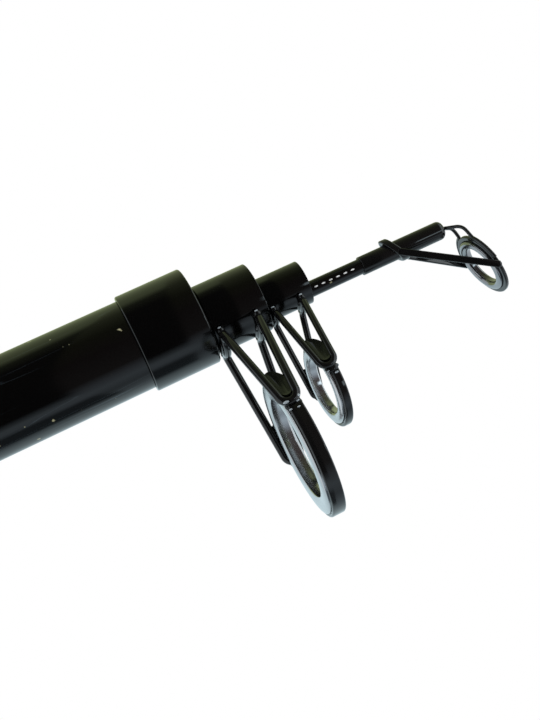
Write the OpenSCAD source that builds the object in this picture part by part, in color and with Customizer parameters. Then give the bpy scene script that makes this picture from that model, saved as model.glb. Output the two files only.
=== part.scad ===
// Telescopic fishing rod, four sections, shown collapsed. Millimetres.
// X runs from the butt to the tip with X = 0 at the middle of the rear grip.
// Z is up and the line guides hang to -Z.

/* [Butt section] */
// Length of the butt tube, from its rear end to its mouth
butt_len = 820; // [600:5:1100]
// Outside diameter of the butt tube at its mouth
butt_mouth_d = 24.5; // [20:0.1:32]
// Outside diameter of the butt tube at its rear end
butt_rear_d = 26.5; // [22:0.1:36]
// Wall of the butt tube at its mouth
butt_wall = 0.8; // [0.6:0.05:1.5]
// Length of the collar round the mouth
collar_len = 18.1; // [12:0.1:30]
// Thickness of the collar over the tube
collar_t = 1.18; // [0.6:0.02:2.5]

/* [Sections] */
// Play between a section's base and the mouth it stops in, per side
joint_gap = 0.15; // [0.1:0.01:0.3]
// Gap between a guide sleeve and the mouth behind it, collapsed
nest_gap = 0.6; // [0.3:0.1:2]
// Length of a section left inside the one behind it, extended
overlap = 60; // [45:1:90]
// Outside diameter of section 2 at its mouth
s2_mouth_d = 18; // [15:0.1:22]
// Wall of section 2 at its mouth
s2_wall = 1.3; // [0.8:0.05:2]
// Drop of section 2 at the butt mouth as it lies collapsed
s2_drop = 2.26; // [0.5:0.01:2.3]
// Outside diameter of section 3 at its mouth
s3_mouth_d = 11.56; // [9:0.02:14]
// Wall of section 3 at its mouth
s3_wall = 0.64; // [0.5:0.02:1.2]
// Drop of section 3 at the mouth of section 2 as it lies collapsed
s3_drop = 1.74; // [0.4:0.01:1.75]
// Outside diameter of the tip blank at its thin end
tip_d = 4.3; // [3:0.05:5]
// Drop of the tip blank at the mouth of section 3 as it lies collapsed
tip_drop = 2.8; // [0.5:0.01:2.85]
// Turn of the tip section against the other guides as it lies collapsed
tip_roll = 30; // [0:1:45]

/* [Guide 1, on section 2] */
// Outside diameter of the guide sleeve
g1_sleeve_d = 19.14; // [16:0.02:24]
// Length of the guide sleeve
g1_sleeve_len = 15.5; // [12:0.1:24]
// Wire diameter of the guide frame
g1_wire_d = 2.2; // [1.4:0.05:2.6]
// Outside diameter of the ring
g1_ring_d = 37.8; // [28:0.1:44]
// Hole diameter of the ring insert
g1_hole_d = 26.4; // [20:0.1:34]
// Depth of the ring centre below the axis of section 2
g1_depth = 42.4; // [36:0.1:55]
// Height of the leg ends above the ring centre
g1_rise = 5.3; // [0:0.1:9]
// Distance from the section mouth back to the ring
g1_back = 8.6; // [7:0.1:9.5]

/* [Guide 2, on section 3] */
// Outside diameter of the guide sleeve
g2_sleeve_d = 12.1; // [10:0.02:16]
// Length of the guide sleeve
g2_sleeve_len = 12.4; // [10:0.1:20]
// Wire diameter of the guide frame
g2_wire_d = 1.8; // [1.2:0.05:2.4]
// Outside diameter of the ring
g2_ring_d = 23.1; // [18:0.1:30]
// Hole diameter of the ring insert
g2_hole_d = 15.3; // [12:0.1:22]
// Depth of the ring centre below the axis of section 3
g2_depth = 29.1; // [24:0.1:40]
// Height of the leg ends above the ring centre
g2_rise = 1.8; // [0:0.1:4]
// Distance from the section mouth back to the ring
g2_back = 8.3; // [6.5:0.1:9]
// Turn of the ring about the upright
g2_turn = 4; // [0:0.5:8]

/* [Guide rings] */
// Width of ring 1 along the rod, without the lip of its insert
g1_ring_w = 3.6; // [2.4:0.1:4.5]
// Width of ring 2 along the rod, without the lip of its insert
g2_ring_w = 2.1; // [2:0.1:4]
// Wall of the metal band round an insert
band_t = 1; // [0.6:0.05:2]
// Length of the lip that an insert shows behind its band
lip_len = 0.75; // [0.5:0.05:1.5]
// Thickness of the lug plates
lug_t = 1.1; // [0.7:0.05:1.6]

/* [Tip top] */
// Outside diameter of the tip top tube
top_tube_d = 5.2; // [4.8:0.05:7]
// Length of the tip top tube
top_tube_len = 25.6; // [20:0.1:36]
// Bare tip blank between section 3 and the tip top tube
tip_bare = 15.9; // [10:0.1:30]
// Outside diameter of the tip ring
top_ring_d = 19; // [14:0.1:24]
// Hole diameter of the tip ring insert
top_hole_d = 11.5; // [8:0.1:16]
// Length of the tip ring insert through the ring
top_ring_w = 2.7; // [2:0.1:4.5]
// Thickness of the flange round the tip ring
top_flange_t = 1.1; // [0.8:0.05:2]
// Width of the flange round the tip ring insert
top_flange_w = 1.4; // [0.8:0.05:2]
// Lean of the tip ring
top_lean = 14; // [0:1:35]
// Depth of the tip ring centre below the tip axis
top_depth = 13.4; // [12:0.1:20]
// Distance of the tip ring centre ahead of the tube
top_ahead = 7.2; // [6:0.1:12]

/* [Handle] */
// Length of the rear grip
rear_grip_len = 210; // [120:5:320]
// Length of the fore grip
fore_grip_len = 90; // [60:5:160]
// Thickness of the grips over the tube
grip_t = 4.6; // [3:0.1:7]
// Length of the reel seat
seat_len = 128; // [110:1:160]
// Outside diameter of the reel seat barrel
seat_d = 29; // [28:0.1:36]
// Pitch of the reel seat thread
seat_pitch = 2; // [1.5:0.1:3]
// Depth of the reel seat thread
thread_h = 0.7; // [0.4:0.05:1]
// Running play of the hood and the nut on the seat, per side
seat_play = 0.3; // [0.25:0.05:0.6]
// Travel of the sliding hood
hood_travel = 22; // [12:1:30]
// Length of the butt plug inside the tube
plug_len = 22; // [15:1:35]
// Play of the butt plug in its bush, per side
plug_play = 0.1; // [0.05:0.01:0.3]

/* [Hidden] */
$fn = 72;
butt_x = -rear_grip_len / 2;
mouth_x = butt_x + butt_len;
butt_r = butt_mouth_d / 2;
butt_slope = (butt_rear_d - butt_mouth_d) / 2 / butt_len;
butt_bore_r = butt_r - butt_wall;
collar_r = butt_r + collar_t;
s2_r = s2_mouth_d / 2;
s2_bore_r = s2_r - s2_wall;
s2_base_r = butt_bore_r - joint_gap;
s3_r = s3_mouth_d / 2;
s3_bore_r = s3_r - s3_wall;
s3_base_r = s2_bore_r - joint_gap;
tip_r = tip_d / 2;
tip_base_r = s3_bore_r - joint_gap;
base_wall = 1.2;
s2_base_x = butt_x + 64;
base_step = 12;
s2_len = mouth_x + nest_gap + g1_sleeve_len - s2_base_x;
s3_len = s2_len + nest_gap + g2_sleeve_len - base_step;
tip_len = s3_len + tip_bare - base_step;
s2_tilt = atan(s2_drop / (mouth_x - s2_base_x));
s3_tilt = atan(s3_drop / (s2_len - base_step));
tip_tilt = atan(tip_drop / (s3_len - base_step));
sink = 0.15;
edge = 0.4;
g1_rear = -5.3;
g1_front = 5.1;
g1_gap = 2.2;
g1_ahead = -0.5;
g1_foot = 40;
g2_rear = -3.3;
g2_front = 4.8;
g2_gap = 2.05;
g2_ahead = -0.1;
g2_foot = 33.5;
lip_gap = 0.12;
groove = 0.3;
lug_tall = 0.225;
lug_tilt = 0.29;
lug_arch = 1.2;
top_wire_r = 0.5;
strip_t = 0.9;
strip_h = 1.9;
strip_drop = 0.3;
strip_ahead = -0.2;
top_saddle_x = 10.5;
top_bore_len = top_tube_len - 5;
top_r = top_ring_d / 2;
top_flange_x = 0.35;
top_proud = 0.75;
top_front = top_flange_x + top_proud;
top_back = top_front - top_ring_w;
top_wire_y = 0.35;
top_knee = [top_tube_len + 3.8, -3.4, -1.3];
top_wire_from = 28;
top_wire_to = 72;
strip_start = [0, 0, -0.4];
strip_end = [top_tube_len + top_ahead + strip_ahead - top_saddle_x,
    sqrt(top_r * top_r - strip_drop * strip_drop) - sink, -top_depth - strip_drop];
strap_lean = 32;
check_len = 5;
seat_x = butt_x + rear_grip_len + check_len;
seat_r = seat_d / 2;
thread_x = seat_x + seat_len - 58;
hood_len = 20;
hood_x = thread_x - 2;
nut_len = 14;
nut_r = seat_r + seat_play + 3.2;
hood_r = seat_r + seat_play + 1.8;
pocket_w = 18;
pocket_h = 4.5;
key_w = 3;
key_h = 1;
fore_x = seat_x + seat_len;
plug_r = 9.5;
cap_len = 14;
grip_r = butt_rear_d / 2 + grip_t;
bush_r = butt_at(butt_x + plug_len) - base_wall;

function butt_at(x) = butt_r + (mouth_x - x) * butt_slope;
function unit(v) = v / norm(v);
function mirrored(path) = [for (i = [len(path) - 1:-1:0]) [path[i].x, -path[i].y, path[i].z]];

module turned(profile) {
    rotate([0, 90, 0])
        rotate_extrude()
            polygon(profile);
}

module cone_x(x0, x1, r0, r1) {
    translate([x0, 0, 0])
        rotate([0, 90, 0])
            cylinder(h = x1 - x0, r1 = r0, r2 = r1);
}

// A ring on the butt tube with broken edges; its bore is the tube's own cone.
module on_butt(x0, x1, r0, r1) {
    difference() {
        turned([[0, x0], [r0 - edge, x0], [r0, x0 + edge], [r1, x1 - edge], [r1 - edge, x1], [0, x1]]);
        cone_x(x0 - 1, x1 + 1, butt_at(x0 - 1), butt_at(x1 + 1));
    }
}

// A tapered blank from its base at x = 0, with a bore of its own taper.
module blank(length, base_r, mouth_r, bore_base_r, bore_r) {
    turned([[bore_base_r, 0], [base_r, 0], [mouth_r, length], [bore_r, length]]);
}

module place_2() {
    translate([s2_base_x, 0, 0])
        rotate([0, s2_tilt, 0])
            children();
}

module place_3() {
    place_2()
        translate([base_step, 0, 0])
            rotate([0, s3_tilt, 0])
                children();
}

module place_tip() {
    place_3()
        translate([base_step, 0, 0])
            rotate([0, tip_tilt, 0])
                rotate([tip_roll, 0, 0])
                    children();
}

// Rounded bend between two straight runs that meet at c.
function bend(a, c, b, d) = let (p = c + d * unit(a - c), q = c + d * unit(b - c))
    [for (t = [0:0.2:1]) (1 - t) * (1 - t) * p + 2 * t * (1 - t) * c + t * t * q];

// Round wire along a closed path.
module closed_wire(path, r) {
    sides = 12;
    n = len(path);
    points = [for (i = [0:n - 1])
        let (t = unit(path[(i + 1) % n] - path[(i + n - 1) % n]))
        let (a = unit(cross(t, [1, 1, 1])))
        let (b = cross(t, a))
        for (k = [0:sides - 1]) path[i] + r * (cos(k * 360 / sides) * a + sin(k * 360 / sides) * b)];
    faces = [for (i = [0:n - 1], k = [0:sides - 1])
        [i * sides + k, ((i + 1) % n) * sides + k,
            ((i + 1) % n) * sides + (k + 1) % sides, i * sides + (k + 1) % sides]];
    polyhedron(points, faces, convexity = 8);
}

// Round wire along an open path.
module open_wire(path, r) {
    sides = 12;
    n = len(path);
    points = [for (i = [0:n - 1])
        let (t = unit(path[min(i + 1, n - 1)] - path[max(i - 1, 0)]))
        let (a = unit(cross(t, [0.2, 1, 0.3])))
        let (b = cross(t, a))
        for (k = [0:sides - 1]) path[i] + r * (cos(k * 360 / sides) * a + sin(k * 360 / sides) * b)];
    sheet = [for (i = [0:n - 2], k = [0:sides - 1])
        [i * sides + k, (i + 1) * sides + k, (i + 1) * sides + (k + 1) % sides, i * sides + (k + 1) % sides]];
    ends = [[for (k = [0:sides - 1]) k], [for (k = [sides - 1:-1:0]) (n - 1) * sides + k]];
    polyhedron(points, concat(sheet, ends), convexity = 8);
}

// One side of a guide frame, rear foot to front foot by way of the ring's side.
function guide_side(sleeve_r, wire_r, ring_r, depth, rise, rear, front, gap, ahead, foot) =
    let (ra = sleeve_r + wire_r - sink)
    let (fy = -ra * sin(foot), fz = -ra * cos(foot))
    let (uy = -sqrt(ring_r * ring_r - rise * rise) - wire_r + sink, uz = rise - depth)
    let (rear_in = [rear, fy + 3 * cos(foot), fz - 3 * sin(foot)])
    let (front_in = [front, fy + 3 * cos(foot), fz - 3 * sin(foot)])
    concat(bend(rear_in, [rear, fy, fz], [ahead - gap, uy, uz], 2.2),
        [for (k = [180:22.5:360]) [ahead + gap * cos(k), uy, uz + gap * sin(k)]],
        bend([ahead + gap, uy, uz], [front, fy, fz], front_in, 2.2));

function saddle(sleeve_r, wire_r, x, foot) = let (ra = sleeve_r + wire_r - sink)
    [for (k = [-0.7:0.35:0.7]) [x, ra * sin(k * foot), -ra * cos(k * foot)]];

// The bent wire, brazed down on the sleeve and on the band of its ring.
module guide_wire(sleeve_r, wire_r, ring_r, ring_w, depth, rise, rear, front, gap, ahead, foot, turn) {
    side = guide_side(sleeve_r, wire_r, ring_r, depth, rise, rear, front, gap, ahead, foot);
    difference() {
        closed_wire(concat(side, saddle(sleeve_r, wire_r, front, foot), mirrored(side),
            [for (p = saddle(sleeve_r, wire_r, rear, foot)) [p.x, -p.y, p.z]]), wire_r);
        cone_x(rear - 4 * wire_r, front + 4 * wire_r, sleeve_r, sleeve_r);
        ring_core(ring_r, ring_w, depth, turn);
    }
}

// The room that a band and the lip of its insert take up.
module ring_core(ring_r, ring_w, depth, turn) {
    lip_r = ring_r - band_t;
    translate([0, 0, -depth])
        rotate([0, 0, turn]) {
            cone_x(-ring_w / 2, ring_w / 2, ring_r, ring_r);
            cone_x(-ring_w / 2 - groove - lip_len, 0, lip_r, lip_r);
        }
}

// Flat plate in the foot of the V between two legs, on the -Y side.
module lug(sleeve_r, wire_r, ring_r, ring_w, depth, rise, rear, front, gap, ahead, foot, turn) {
    ra = sleeve_r + wire_r - sink;
    uy = -sqrt(ring_r * ring_r - rise * rise) - wire_r + sink;
    run = depth - rise - ra * cos(foot);
    lean = atan((-uy - ra * sin(foot)) / run);
    long = run / cos(lean);
    rear_slope = (rear - ahead + gap) / long;
    front_slope = (front - ahead - gap) / long;
    tall = long * lug_tall;
    rear_x = -gap + rear_slope * tall * (1 + lug_tilt) + wire_r * sqrt(1 + rear_slope * rear_slope);
    front_x = gap + front_slope * tall * (1 - lug_tilt) - wire_r * sqrt(1 + front_slope * front_slope);
    mid = (rear_x + front_x) / 2;
    half = (front_x - rear_x) / 2;
    base = gap - wire_r;
    difference() {
        translate([ahead, uy, rise - depth])
            rotate([-lean, 0, 0])
                rotate([90, 0, 0])
                    linear_extrude(lug_t, center = true)
                        polygon(concat([for (k = [180:30:360]) [base * cos(k), base * 0.9 * sin(k)]],
                            [for (k = [0:20:180]) [mid + half * cos(k),
                                tall * (1 - lug_tilt * cos(k)) + half * lug_arch * sin(k)]]));
        ring_core(ring_r, ring_w, depth, turn);
    }
}

module band(ring_r, w) {
    inner = ring_r - band_t;
    turned([[inner, -w / 2], [ring_r - edge, -w / 2], [ring_r, edge - w / 2],
        [ring_r, w / 2 - edge], [ring_r - edge, w / 2], [inner, w / 2]]);
}

// Rounded ring through the band, with a lip that stands out behind it.
module insert(ring_r, hole_r, w) {
    outer = ring_r - band_t;
    lip_r = outer - lip_gap;
    back = -w / 2;
    wall = lip_r - hole_r;
    turned([[outer, back + groove], [lip_r, back + groove], [lip_r, back - lip_len * 0.45],
        [lip_r - wall * 0.08, back - lip_len * 0.85], [lip_r - wall * 0.25, back - lip_len],
        [hole_r + wall * 0.3, back - lip_len * 0.95], [hole_r + wall * 0.1, back - lip_len * 0.55],
        [hole_r, back + w * 0.16], [hole_r, w * 0.26], [hole_r + wall * 0.2, w * 0.46],
        [outer - edge, w / 2 + 0.2], [outer, w / 2 + 0.1]]);
}

module butt_tube() {
    color([0.02, 0.02, 0.02])
        difference() {
            cone_x(butt_x, mouth_x, butt_rear_d / 2, butt_r);
            cone_x(butt_x - 1, mouth_x + 1, butt_rear_d / 2 - base_wall, butt_bore_r);
        }
}

module mouth_collar() {
    color([0.02, 0.02, 0.02])
        on_butt(mouth_x - collar_len, mouth_x, collar_r, collar_r);
}

module butt_bush() {
    color([0.08, 0.08, 0.08])
        difference() {
            cone_x(butt_x, butt_x + plug_len, bush_r, bush_r);
            cone_x(butt_x - 1, butt_x + plug_len + 1, plug_r, plug_r);
        }
}

module rear_grip() {
    color([0.06, 0.06, 0.06])
        on_butt(butt_x, seat_x - check_len, grip_r, grip_r);
}

module rear_check() {
    color([0.3, 0.3, 0.32])
        on_butt(seat_x - check_len, seat_x, grip_r, seat_r);
}

module seat_barrel() {
    teeth = floor((seat_x + seat_len - thread_x - 2) / seat_pitch);
    color([0.1, 0.1, 0.1])
        difference() {
            turned(concat([[0, seat_x], [seat_r, seat_x], [seat_r, thread_x]],
                [for (i = [0:teeth - 1], k = [0, 1])
                    [seat_r - (1 - k) * thread_h, thread_x + (i + 0.25 + k * 0.5) * seat_pitch]],
                [[seat_r - thread_h, seat_x + seat_len], [0, seat_x + seat_len]]));
            cone_x(seat_x - 1, seat_x + seat_len + 1, butt_at(seat_x - 1), butt_at(seat_x + seat_len + 1));
            translate([hood_x - hood_travel - 2, -key_w / 2, seat_r - key_h])
                cube([seat_len, key_w, key_h + 1]);
        }
}

// A hood with a pocket for one end of a reel foot, open to +X.
module hood(length, bore_r) {
    difference() {
        union() {
            cone_x(0, length, hood_r, hood_r);
            translate([0, -pocket_w / 2 - 1.5, -seat_r - pocket_h - 1.5])
                cube([length, pocket_w + 3, pocket_h + 6]);
        }
        cone_x(-1, length + 1, bore_r, bore_r);
        translate([3, -pocket_w / 2, -seat_r - pocket_h])
            cube([length, pocket_w, pocket_h + 2]);
    }
}

module fixed_hood() {
    color([0.12, 0.12, 0.13])
        translate([seat_x + 2, 0, 0])
            hood(hood_len, seat_r);
}

module sliding_hood() {
    color([0.12, 0.12, 0.13])
        translate([hood_x, 0, 0]) {
            mirror([1, 0, 0])
                translate([-hood_len, 0, 0])
                    hood(hood_len, seat_r + seat_play);
            translate([0, seat_play - key_w / 2, seat_r + seat_play - key_h])
                cube([hood_len, key_w - 2 * seat_play, key_h + 1]);
        }
}

module lock_nut() {
    flutes = 18;
    color([0.12, 0.12, 0.13])
        translate([hood_x + hood_len + seat_play, 0, 0])
            difference() {
                cone_x(0, nut_len, nut_r, nut_r - 0.8);
                cone_x(-1, nut_len + 1, seat_r + seat_play, seat_r + seat_play);
                for (i = [0:flutes - 1])
                    rotate([i * 360 / flutes, 0, 0])
                        translate([-1, 0, nut_r + 1])
                            rotate([0, 90, 0])
                                cylinder(h = nut_len + 2, r = 2);
            }
}

module fore_grip() {
    color([0.06, 0.06, 0.06])
        on_butt(fore_x, fore_x + fore_grip_len, seat_r + 0.5, butt_at(fore_x + fore_grip_len) + grip_t * 0.7);
}

module fore_check() {
    start = fore_x + fore_grip_len;
    color([0.3, 0.3, 0.32])
        on_butt(start, start + check_len, butt_at(start) + grip_t * 0.7, butt_at(start + check_len) + 1);
}

module butt_plug() {
    r = grip_r - 0.4;
    color([0.08, 0.08, 0.08])
        translate([butt_x - plug_play, 0, 0]) {
            turned([[0, -cap_len], [r - 3, -cap_len], [r - 1, 1 - cap_len], [r, 3 - cap_len], [r, -edge],
                [r - edge, 0], [0, 0]]);
            cone_x(-1, plug_len + 4, plug_r - plug_play, plug_r - plug_play);
        }
}

module plug_pad() {
    r = grip_r - 3.4;
    color([0.04, 0.04, 0.04])
        translate([butt_x - plug_play - cap_len, 0, 0])
            turned([[0, -3], [r - 2, -3], [r - 0.6, -2.2], [r, 0], [0, 0]]);
}

module rest_pad() {
    color([0.15, 0.15, 0.16])
        cone_x(butt_x - plug_play + plug_len + 4, s2_base_x - 1.5, plug_r - 1, plug_r - 1);
}

module section_2_blank() {
    color([0.02, 0.02, 0.02])
        place_2()
            blank(s2_len, s2_base_r, s2_r, s2_base_r - base_wall, s2_bore_r);
}

module section_3_blank() {
    color([0.02, 0.02, 0.02])
        place_3()
            blank(s3_len, s3_base_r, s3_r, s3_base_r - base_wall, s3_bore_r);
}

module sleeve(sleeve_r, length, r0, r1) {
    turned([[r0, 0], [sleeve_r - edge / 2, 0], [sleeve_r, edge], [sleeve_r, length - edge / 2],
        [sleeve_r - edge / 2, length], [r1, length]]);
}

module guide_1_sleeve() {
    color([0.02, 0.02, 0.02])
        place_2()
            translate([s2_len - g1_sleeve_len, 0, 0])
                sleeve(g1_sleeve_d / 2, g1_sleeve_len,
                    s2_r + g1_sleeve_len * (s2_base_r - s2_r) / s2_len, s2_r);
}

module place_g1() {
    place_2()
        translate([s2_len - g1_back, 0, 0])
            children();
}

module guide_1_wire() {
    color([0.05, 0.05, 0.05])
        place_g1()
            guide_wire(g1_sleeve_d / 2, g1_wire_d / 2, g1_ring_d / 2, g1_ring_w, g1_depth, g1_rise,
                g1_rear, g1_front, g1_gap, g1_ahead, g1_foot, 0);
}

module guide_1_lug_near() {
    color([0.16, 0.16, 0.13])
        place_g1()
            lug(g1_sleeve_d / 2, g1_wire_d / 2, g1_ring_d / 2, g1_ring_w, g1_depth, g1_rise,
                g1_rear, g1_front, g1_gap, g1_ahead, g1_foot, 0);
}

module guide_1_lug_far() {
    color([0.16, 0.16, 0.13])
        place_g1()
            mirror([0, 1, 0])
                lug(g1_sleeve_d / 2, g1_wire_d / 2, g1_ring_d / 2, g1_ring_w, g1_depth, g1_rise,
                g1_rear, g1_front, g1_gap, g1_ahead, g1_foot, 0);
}

module guide_1_band() {
    color([0.05, 0.05, 0.05])
        place_g1()
            translate([0, 0, -g1_depth])
                band(g1_ring_d / 2, g1_ring_w);
}

module guide_1_insert() {
    color([0.45, 0.48, 0.52])
        place_g1()
            translate([0, 0, -g1_depth])
                insert(g1_ring_d / 2, g1_hole_d / 2, g1_ring_w);
}

module guide_2_sleeve() {
    color([0.02, 0.02, 0.02])
        place_3()
            translate([s3_len - g2_sleeve_len, 0, 0])
                sleeve(g2_sleeve_d / 2, g2_sleeve_len,
                    s3_r + g2_sleeve_len * (s3_base_r - s3_r) / s3_len, s3_r);
}

module place_g2() {
    place_3()
        translate([s3_len - g2_back, 0, 0])
            children();
}

module guide_2_wire() {
    color([0.05, 0.05, 0.05])
        place_g2()
            guide_wire(g2_sleeve_d / 2, g2_wire_d / 2, g2_ring_d / 2, g2_ring_w, g2_depth, g2_rise,
                g2_rear, g2_front, g2_gap, g2_ahead, g2_foot, g2_turn);
}

module guide_2_lug_near() {
    color([0.16, 0.16, 0.13])
        place_g2()
            lug(g2_sleeve_d / 2, g2_wire_d / 2, g2_ring_d / 2, g2_ring_w, g2_depth, g2_rise,
                g2_rear, g2_front, g2_gap, g2_ahead, g2_foot, g2_turn);
}

module guide_2_lug_far() {
    color([0.16, 0.16, 0.13])
        place_g2()
            mirror([0, 1, 0])
                lug(g2_sleeve_d / 2, g2_wire_d / 2, g2_ring_d / 2, g2_ring_w, g2_depth, g2_rise,
                g2_rear, g2_front, g2_gap, g2_ahead, g2_foot, -g2_turn);
}

module guide_2_band() {
    color([0.05, 0.05, 0.05])
        place_g2()
            translate([0, 0, -g2_depth])
                rotate([0, 0, g2_turn])
                    band(g2_ring_d / 2, g2_ring_w);
}

module guide_2_insert() {
    color([0.45, 0.48, 0.52])
        place_g2()
            translate([0, 0, -g2_depth])
                rotate([0, 0, g2_turn])
                    insert(g2_ring_d / 2, g2_hole_d / 2, g2_ring_w);
}

module tip_blank() {
    color([0.02, 0.02, 0.02])
        place_tip()
            turned([[0, 0], [tip_base_r, 0], [tip_r, tip_len], [tip_r, tip_len + top_bore_len],
                [0, tip_len + top_bore_len]]);
}

module place_top() {
    place_tip()
        translate([tip_len, 0, 0])
            children();
}

module tip_top_tube() {
    r = top_tube_d / 2;
    color([0.03, 0.03, 0.03])
        place_top()
            turned([[tip_r, 0], [r, 0], [r, top_tube_len - 1.4], [r - 0.4, top_tube_len - 0.4],
                [r - 1.2, top_tube_len], [0, top_tube_len], [0, top_bore_len], [tip_r, top_bore_len]]);
}

// Strap over the tube and the two flat strips down to the sides of the ring.
module tip_top_strips() {
    r = top_tube_d / 2;
    reach = [strip_end.x, strip_end.y - r, strip_end.z - strip_start.z];
    color([0.03, 0.03, 0.03])
        place_top()
            difference() {
                translate([top_saddle_x, 0, 0]) {
                    difference() {
                        intersection() {
                            cone_x(-strip_h * 4, strip_h * 4, r + strip_t, r + strip_t);
                            rotate([0, -strap_lean, 0])
                                translate([-strip_h / 2, -r * 2, -r * 3])
                                    cube([strip_h, r * 4, r * 6]);
                        }
                        cone_x(-strip_h * 5, strip_h * 5, r, r);
                    }
                    for (side = [-1, 1])
                        translate([0, side * (r + strip_t / 2), strip_start.z])
                            rotate([0, 0, side * atan(reach.y / reach.x)])
                                rotate([0, -atan(reach.z / norm([reach.x, reach.y])), 0])
                                    translate([0, -strip_t / 2, -strip_h / 2])
                                        cube([norm(reach), strip_t, strip_h]);
                }
                cone_x(0, top_tube_len, r, r);
                at_ring()
                    cone_x(-top_ring_w, top_ring_w, top_r, top_r);
            }
}

module at_ring() {
    translate([top_tube_len + top_ahead, 0, -top_depth])
        rotate([0, -top_lean, 0])
            children();
}

// Point on the middle of a wire that lies on the rim of the flange.
function on_rim(k) = let (r = top_r + top_wire_r - sink, f = top_flange_x - top_flange_t / 2)
    [top_tube_len + top_ahead + f * cos(top_lean) - r * cos(k) * sin(top_lean), -r * sin(k),
        f * sin(top_lean) + r * cos(k) * cos(top_lean) - top_depth];

// One of the two wires from the tube's front end round the rim of the flange.
function top_wire_path() = let (start = [top_tube_len, -top_wire_y, 0], lead = start + [0.4, 0, 0])
    concat([start, lead], bend(lead, top_knee, on_rim(top_wire_from), 1.6),
        [for (k = [top_wire_from:(top_wire_to - top_wire_from) / 6:top_wire_to]) on_rim(k)]);

module tip_top_wires() {
    color([0.03, 0.03, 0.03])
        place_top()
            difference() {
                for (side = [0, 1])
                    mirror([0, side, 0])
                        open_wire(top_wire_path(), top_wire_r);
                at_ring()
                    cone_x(-top_ring_w, top_ring_w, top_r, top_r);
            }
}

// Flange round the ring; the insert stands out before and behind it.
module tip_band() {
    inner = top_r - top_flange_w;
    x0 = top_flange_x - top_flange_t;
    x1 = top_flange_x;
    color([0.1, 0.1, 0.11])
        place_top()
            at_ring()
                turned([[inner, x0], [top_r - edge / 2, x0], [top_r, x0 + edge / 2], [top_r, x1 - edge],
                    [top_r - edge, x1], [inner, x1]]);
}

module tip_insert() {
    outer = top_r - top_flange_w;
    hole = top_hole_d / 2;
    wall = outer - hole;
    color([0.45, 0.48, 0.52])
        place_top()
            at_ring()
                turned([[outer, top_front - 0.4], [outer, top_back + 0.5], [outer - wall * 0.12, top_back + 0.15],
                    [outer - wall * 0.4, top_back], [hole + wall * 0.15, top_back + 0.35],
                    [hole, top_back + top_ring_w * 0.4], [hole, top_front - top_ring_w * 0.26],
                    [hole + wall * 0.3, top_front - 0.2], [outer - wall * 0.2, top_front]]);
}

butt_tube();
mouth_collar();
butt_bush();
rear_grip();
rear_check();
seat_barrel();
fixed_hood();
fore_grip();
fore_check();
sliding_hood();
lock_nut();
butt_plug();
plug_pad();
rest_pad();
section_2_blank();
guide_1_sleeve();
guide_1_wire();
guide_1_lug_near();
guide_1_lug_far();
guide_1_band();
guide_1_insert();
section_3_blank();
guide_2_sleeve();
guide_2_wire();
guide_2_lug_near();
guide_2_lug_far();
guide_2_band();
guide_2_insert();
tip_blank();
tip_top_tube();
tip_top_strips();
tip_top_wires();
tip_band();
tip_insert();
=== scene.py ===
import math

import bpy
from mathutils import Matrix, Vector


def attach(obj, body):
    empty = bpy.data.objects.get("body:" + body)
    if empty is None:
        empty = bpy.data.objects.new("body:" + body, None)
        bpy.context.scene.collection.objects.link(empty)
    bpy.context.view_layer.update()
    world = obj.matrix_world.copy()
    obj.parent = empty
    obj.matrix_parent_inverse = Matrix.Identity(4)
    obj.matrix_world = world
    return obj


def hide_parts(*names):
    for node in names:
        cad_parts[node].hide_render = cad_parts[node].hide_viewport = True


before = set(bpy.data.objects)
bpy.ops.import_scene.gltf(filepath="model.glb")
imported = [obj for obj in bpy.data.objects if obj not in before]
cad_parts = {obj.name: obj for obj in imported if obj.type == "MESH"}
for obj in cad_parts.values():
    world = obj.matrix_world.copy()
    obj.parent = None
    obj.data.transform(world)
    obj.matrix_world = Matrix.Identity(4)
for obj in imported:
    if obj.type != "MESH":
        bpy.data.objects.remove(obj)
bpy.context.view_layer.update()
mm = 0.001
print("frame loaded")

# how the sections lie in one another, in mm, as in the CAD
rod = {
    "mouthX": 715, "rearX": -105, "base2X": -41, "baseStep": 12,
    "length2": 772.1, "length3": 773.1, "tipLength": 777.0,
    "drop2": 2.26, "drop3": 1.74, "dropTip": 2.8, "tipRoll": 30,
}


def spin(angle, axis):
    return Matrix.Rotation(angle, 4, axis)


def slide(x, y=0, z=0):
    return Matrix.Translation(Vector((x, y, z)) * mm)


tilt2 = math.atan(rod["drop2"] / (rod["mouthX"] - rod["base2X"]))
tilt3 = math.atan(rod["drop3"] / (rod["length2"] - rod["baseStep"]))
tiltTip = math.atan(rod["dropTip"] / (rod["length3"] - rod["baseStep"]))
tipRoll = spin(math.radians(rod["tipRoll"]), "X")
section2 = slide(rod["base2X"]) @ spin(tilt2, "Y")
section3 = section2 @ slide(rod["baseStep"]) @ spin(tilt3, "Y")
tipSection = section3 @ slide(rod["baseStep"]) @ spin(tiltTip, "Y") @ tipRoll


# modelling helpers, sizes in mm

fine = {"leastRadius": 1e-4, "weld": 2e-4, "wireSides": 6, "beadSegments": 32, "beadRings": 20}


def clearSelection():
    if bpy.context.object and bpy.context.object.mode != "OBJECT":
        bpy.ops.object.mode_set(mode="OBJECT")
    bpy.ops.object.select_all(action="DESELECT")


def pick(obj):
    clearSelection()
    obj.select_set(True)
    bpy.context.view_layer.objects.active = obj
    return obj


def setDown(obj, place):
    pick(obj)
    obj.matrix_world = place @ obj.matrix_world
    bpy.ops.object.transform_apply(location=True, rotation=True, scale=True)
    return obj


def addModifier(obj, kind, **settings):
    pick(obj)
    bpy.ops.object.modifier_add(type=kind)
    modifier = obj.modifiers[-1]
    for name, value in settings.items():
        setattr(modifier, name, value)
    bpy.ops.object.modifier_apply(modifier=modifier.name)


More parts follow.
